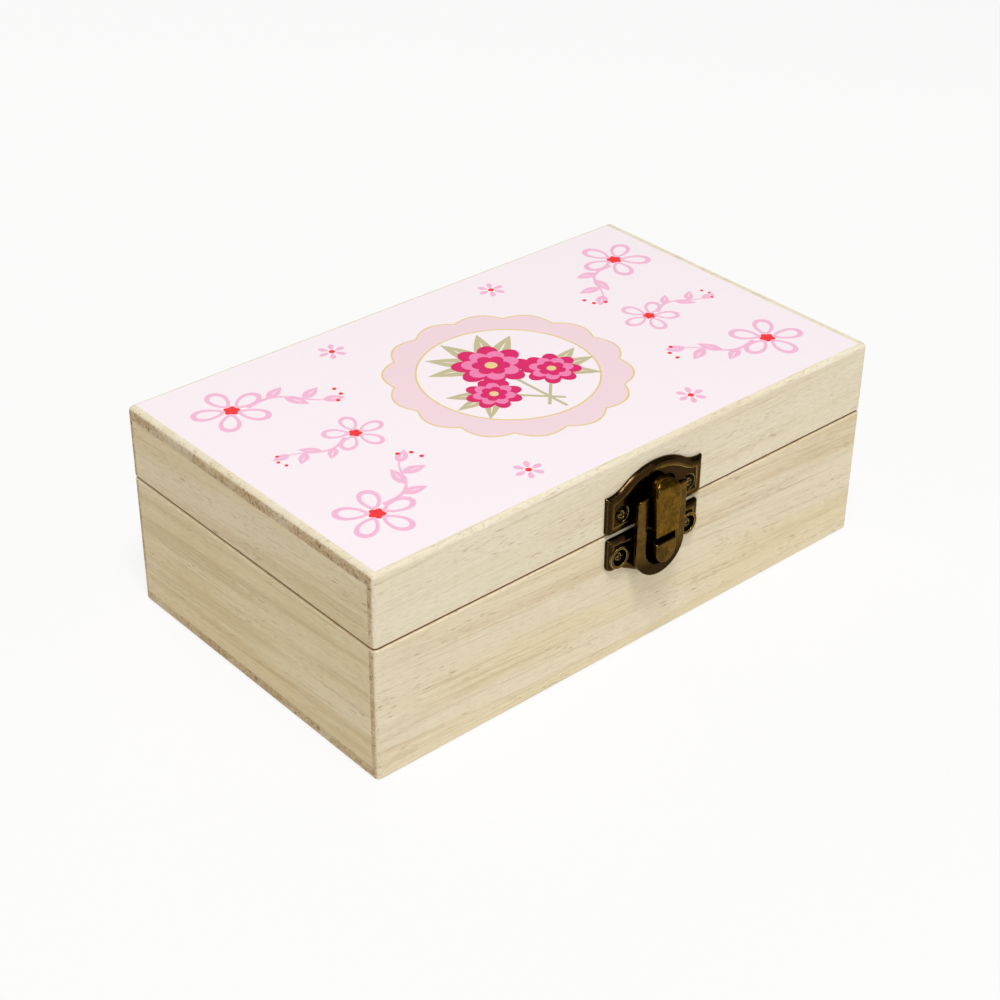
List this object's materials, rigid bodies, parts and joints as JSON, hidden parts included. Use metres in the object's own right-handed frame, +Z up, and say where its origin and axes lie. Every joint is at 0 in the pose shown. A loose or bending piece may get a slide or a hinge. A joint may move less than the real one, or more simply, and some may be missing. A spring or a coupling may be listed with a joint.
{
  "type": "wooden storage box",
  "caption": "Rectangular wooden keepsake box with lapped corner boards, overlaid top and bottom panels, a lid on surface-mounted butt hinges and a toggle latch on the front.",
  "frame": {"origin": "centre of the flat underside that the box stands on", "axes": "+X along the box, -Y out of the front with the latch, +Z up"},
  "size_m": [0.2, 0.1292, 0.07],
  "materials": {
    "board_wood": "sanded, unvarnished",
    "panel_wood": "sanded, printed on the top of the lid",
    "antique_bronze": "antique bronze plating with rubbed edges",
    "rubbed_brass": "antique bronze plating rubbed bright on the face",
    "dark_steel": "bronzed steel"
  },
  "bodies": {
    "base": {"base_front": "board_wood", "base_back": "board_wood", "base_left_end": "board_wood", "base_right_end": "board_wood", "bottom_panel": "panel_wood", "hinge_left_base_leaf": "antique_bronze", "hinge_right_base_leaf": "antique_bronze", "hinge_left_pin": "dark_steel", "hinge_right_pin": "dark_steel", "hinge_base_screws": "dark_steel", "latch_lower_plate": "antique_bronze", "latch_lower_screws": "dark_steel"},
    "lid": {"lid_front": "board_wood", "lid_back": "board_wood", "lid_left_end": "board_wood", "lid_right_end": "board_wood", "lid_top_panel": "panel_wood", "hinge_left_lid_leaf": "antique_bronze", "hinge_right_lid_leaf": "antique_bronze", "hinge_lid_screws": "dark_steel", "latch_upper_plate": "antique_bronze", "latch_upper_screws": "dark_steel", "latch_lever_pin": "dark_steel"},
    "lever": {"latch_lever": "rubbed_brass"},
    "loop": {"latch_loop": "antique_bronze"}
  },
  "joints": [
    {"name": "lid_hinge", "type": "hinge", "parent": "base", "child": "lid", "pos_m": [0, 0.06105, 0.04545], "axis": [-1, 0, 0], "range_deg": [0, 175]},
    {"name": "lever_pivot", "type": "hinge", "parent": "lid", "child": "lever", "pos_m": [0.0048, -0.0642, 0.04465], "axis": [1, 0, 0], "range_deg": [0, 110]},
    {"name": "loop_pivot", "type": "hinge", "parent": "lever", "child": "loop", "pos_m": [0.0048, -0.06288, 0.05285], "axis": [1, 0, 0], "range_deg": [-155, 0]}
  ],
  "couplings": [
    {"joint": "loop_pivot", "follows": "lever_pivot", "ratio": -1.4}
  ]
}
